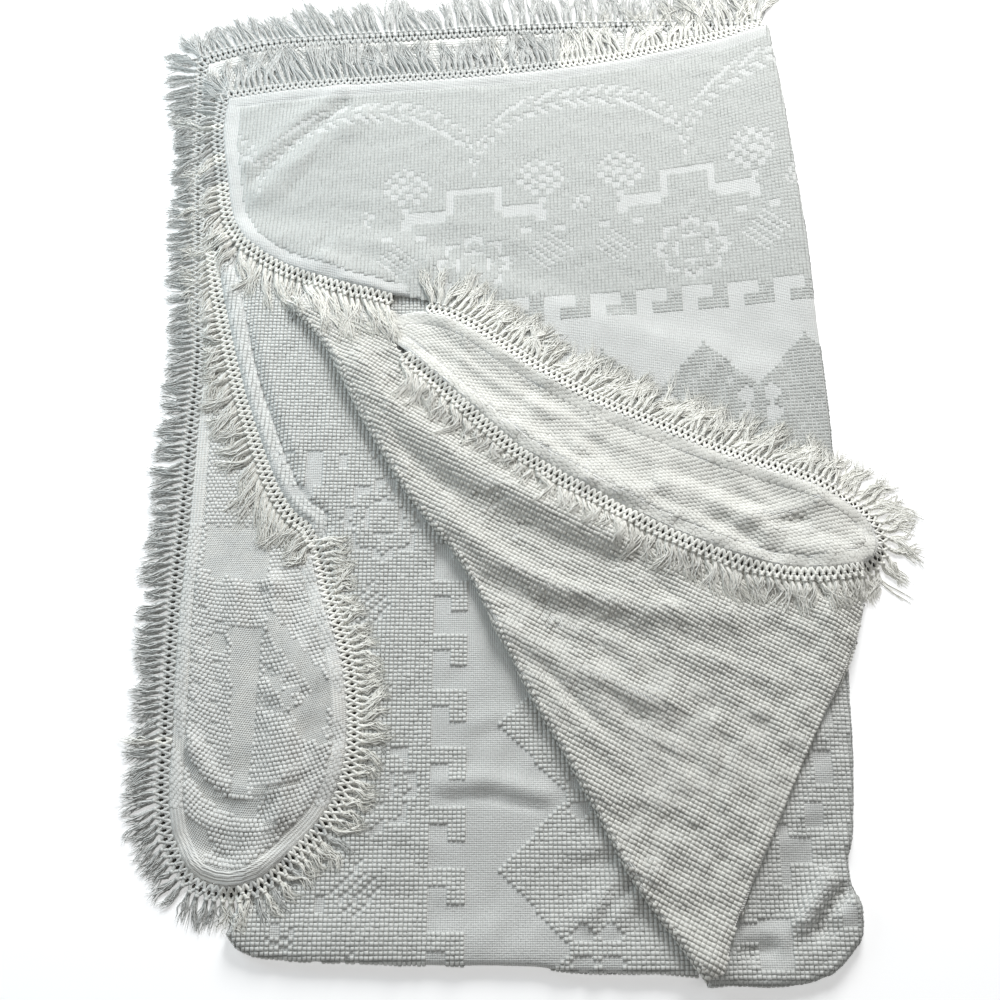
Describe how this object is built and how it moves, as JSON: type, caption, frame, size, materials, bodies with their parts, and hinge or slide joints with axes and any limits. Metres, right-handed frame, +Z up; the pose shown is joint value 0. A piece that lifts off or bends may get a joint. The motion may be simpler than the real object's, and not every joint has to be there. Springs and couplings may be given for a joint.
{
  "type": "bedspread",
  "caption": "Woven cotton bedspread with a looped chenille pile and knotted fringe, folded and laid flat in a loose stack with turned-back tongues.",
  "frame": {"origin": "centre of the folded stack's bounding box, on the floor", "axes": "+X across the stack towards its long folded side, +Y from the foot to the fringed head, +Z up from the floor"},
  "size_m": [1.2686, 1.7684, 0.0419],
  "materials": {
    "spread_cotton": "off-white cotton with a looped chenille pile",
    "fringe_cotton": "off-white knotted cotton yarn"
  },
  "bodies": {
    "root": {"spread": "spread_cotton", "fringe_under": "fringe_cotton", "fringe_middle": "fringe_cotton", "fringe_band": "fringe_cotton", "fringe_over": "fringe_cotton"}
  },
  "joints": []
}
